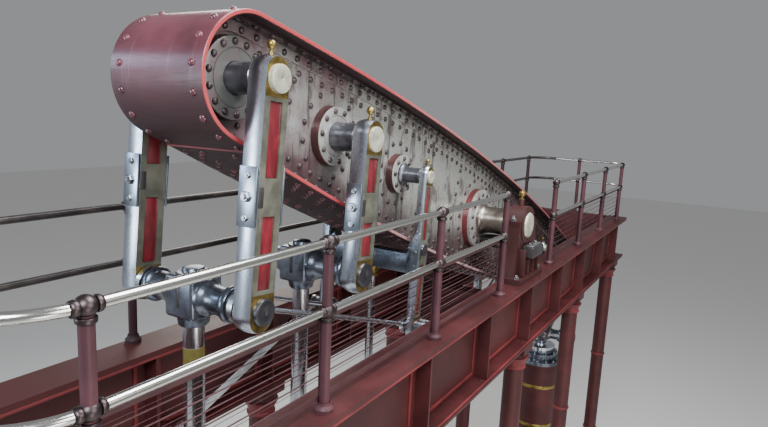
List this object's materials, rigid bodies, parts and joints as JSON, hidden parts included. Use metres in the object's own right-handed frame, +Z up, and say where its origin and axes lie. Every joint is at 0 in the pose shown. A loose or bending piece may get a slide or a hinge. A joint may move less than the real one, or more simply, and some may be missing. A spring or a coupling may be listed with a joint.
{
  "type": "compound beam pumping engine",
  "caption": "Compound beam pumping engine: riveted beam on trunnion bearings, links and crossheads over upright cylinders and a ram pump, on a railed girder frame and columns.",
  "frame": {"origin": "on the ground under the middle of the trunnion, at the centre of the bedplate's underside", "axes": "+X along the engine towards the pump end, +Y towards the far side, +Z up"},
  "size_m": [11.2, 1.92, 7.9968],
  "materials": {
    "plum_plate": "gloss plum paint, oily and worn",
    "maroon_plate": "gloss maroon paint with a bright red edge",
    "bright_steel": "polished steel",
    "link_bars": "olive-grey bars with red panels",
    "brasses": "worn brass",
    "iron_red": "dark red gloss paint on cast iron",
    "crosshead_steel": "blue-grey machined steel",
    "guard_paint": "mauve-maroon paint",
    "cylinder_iron": "dark red painted cast iron"
  },
  "bodies": {
    "frame": {"trunnion_pedestals": "iron_red", "trunnion_caps": "iron_red", "drip_trays": "crosshead_steel", "girder_near": "iron_red", "girder_far": "iron_red", "cross_girders": "iron_red", "columns": "iron_red", "bedplate": "iron_red", "low_cylinder": "cylinder_iron", "high_cylinder": "cylinder_iron", "air_pump": "cylinder_iron", "pump_barrel": "cylinder_iron", "cylinder_stools": "cylinder_iron", "stuffing_boxes": "crosshead_steel", "guard_posts": "guard_paint", "guard_rails": "bright_steel", "guard_mesh": "guard_paint"},
    "beam": {"beam_web_near": "plum_plate", "beam_web_far": "plum_plate", "beam_cover_plate": "maroon_plate", "beam_angle_irons": "plum_plate", "beam_bosses": "plum_plate", "low_gudgeon": "bright_steel", "high_gudgeon": "bright_steel", "back_gudgeon": "bright_steel", "pump_gudgeon": "bright_steel", "pump_back_gudgeon": "bright_steel", "trunnion_shaft": "bright_steel"},
    "low_links": {"low_link_straps": "bright_steel", "low_link_frames": "link_bars", "low_link_brasses": "brasses"},
    "high_links": {"high_link_straps": "bright_steel", "high_link_frames": "link_bars", "high_link_brasses": "brasses"},
    "back_links": {"back_link_straps": "bright_steel", "back_link_frames": "link_bars", "back_link_brasses": "brasses"},
    "pump_links": {"pump_link_straps": "bright_steel", "pump_link_frames": "link_bars", "pump_link_brasses": "brasses"},
    "pump_back_links": {"pump_back_link_straps": "bright_steel", "pump_back_link_frames": "link_bars", "pump_back_link_brasses": "brasses"},
    "parallel_motion_rods": {"parallel_rods": "bright_steel"},
    "pump_parallel_motion_rods": {"pump_parallel_rods": "bright_steel"},
    "radius_bars": {"radius_rods": "bright_steel"},
    "pump_radius_bars": {"pump_radius_rods": "bright_steel"},
    "low_piston": {"low_crosshead": "crosshead_steel", "low_piston_rod": "bright_steel"},
    "high_piston": {"high_crosshead": "crosshead_steel", "high_piston_rod": "bright_steel"},
    "air_pump_bucket": {"air_pump_yoke": "crosshead_steel", "air_pump_rod": "bright_steel"},
    "pump_ram": {"pump_crosshead": "crosshead_steel", "pump_rod": "bright_steel"}
  },
  "joints": [
    {"name": "beam_swing", "type": "hinge", "parent": "frame", "child": "beam", "pos_m": [0, 0, 6.35], "axis": [0, 1, 0], "range_deg": [-37.2, 0]},
    {"name": "low_link_pivot", "type": "hinge", "parent": "beam", "child": "low_links", "pos_m": [-3.8034, 0, 7.62998], "axis": [0, 1, 0], "range_deg": [-0.02, 37.22]},
    {"name": "high_link_pivot", "type": "hinge", "parent": "beam", "child": "high_links", "pos_m": [-2.80715, 0, 7.29471], "axis": [0, 1, 0], "range_deg": [-0.02, 37.22]},
    {"name": "back_link_pivot", "type": "hinge", "parent": "beam", "child": "back_links", "pos_m": [-1.82812, 0, 6.96523], "axis": [0, 1, 0], "range_deg": [-0.02, 37.22]},
    {"name": "pump_link_pivot", "type": "hinge", "parent": "beam", "child": "pump_links", "pos_m": [3.8034, 0, 5.07002], "axis": [0, 1, 0], "range_deg": [-0.02, 37.22]},
    {"name": "pump_back_link_pivot", "type": "hinge", "parent": "beam", "child": "pump_back_links", "pos_m": [1.82812, 0, 5.73477], "axis": [0, 1, 0], "range_deg": [-0.02, 37.22]},
    {"name": "parallel_rod_pivot", "type": "hinge", "parent": "low_links", "child": "parallel_motion_rods", "pos_m": [-3.9082, 0, 6.35], "axis": [0, 1, 0], "range_deg": [-37.22, 0.02]},
    {"name": "pump_parallel_rod_pivot", "type": "hinge", "parent": "pump_links", "child": "pump_parallel_motion_rods", "pos_m": [3.9082, 0, 3.79003], "axis": [0, 1, 0], "range_deg": [-37.22, 0.02]},
    {"name": "radius_rod_pivot", "type": "hinge", "parent": "frame", "child": "radius_bars", "pos_m": [-3.60874, 0, 5.07002], "axis": [0, 1, 0], "range_deg": [-0.02, 40.34]},
    {"name": "pump_radius_rod_pivot", "type": "hinge", "parent": "frame", "child": "pump_radius_bars", "pos_m": [3.60874, 0, 5.07002], "axis": [0, 1, 0], "range_deg": [-0.02, 40.34]},
    {"name": "low_piston_slide", "type": "slide", "parent": "frame", "child": "low_piston", "axis": [0, 0, 1], "range_m": [-2.56047, 0.0005]},
    {"name": "high_piston_slide", "type": "slide", "parent": "frame", "child": "high_piston", "axis": [0, 0, 1], "range_m": [-1.88992, 0.0005]},
    {"name": "air_pump_slide", "type": "slide", "parent": "frame", "child": "air_pump_bucket", "axis": [0, 0, 1], "range_m": [-1.23096, 0.0005]},
    {"name": "pump_ram_slide", "type": "slide", "parent": "frame", "child": "pump_ram", "axis": [0, 0, 1], "range_m": [-0.0005, 2.56047]}
  ],
  "couplings": [
    {"joint": "low_link_pivot", "follows": "beam_swing", "ratio": -1},
    {"joint": "high_link_pivot", "follows": "beam_swing", "ratio": -1},
    {"joint": "back_link_pivot", "follows": "beam_swing", "ratio": -1},
    {"joint": "pump_link_pivot", "follows": "beam_swing", "ratio": -1},
    {"joint": "pump_back_link_pivot", "follows": "beam_swing", "ratio": -1},
    {"joint": "parallel_rod_pivot", "follows": "beam_swing", "ratio": 1},
    {"joint": "pump_parallel_rod_pivot", "follows": "beam_swing", "ratio": 1},
    {"joint": "radius_rod_pivot", "follows": "beam_swing", "ratio": -1.0838},
    {"joint": "pump_radius_rod_pivot", "follows": "beam_swing", "ratio": -1.0838},
    {"joint": "low_piston_slide", "follows": "beam_swing", "m_per_rad": 3.9429},
    {"joint": "high_piston_slide", "follows": "beam_swing", "m_per_rad": 2.9101},
    {"joint": "air_pump_slide", "follows": "beam_swing", "m_per_rad": 1.8952},
    {"joint": "pump_ram_slide", "follows": "beam_swing", "m_per_rad": -3.9429}
  ]
}
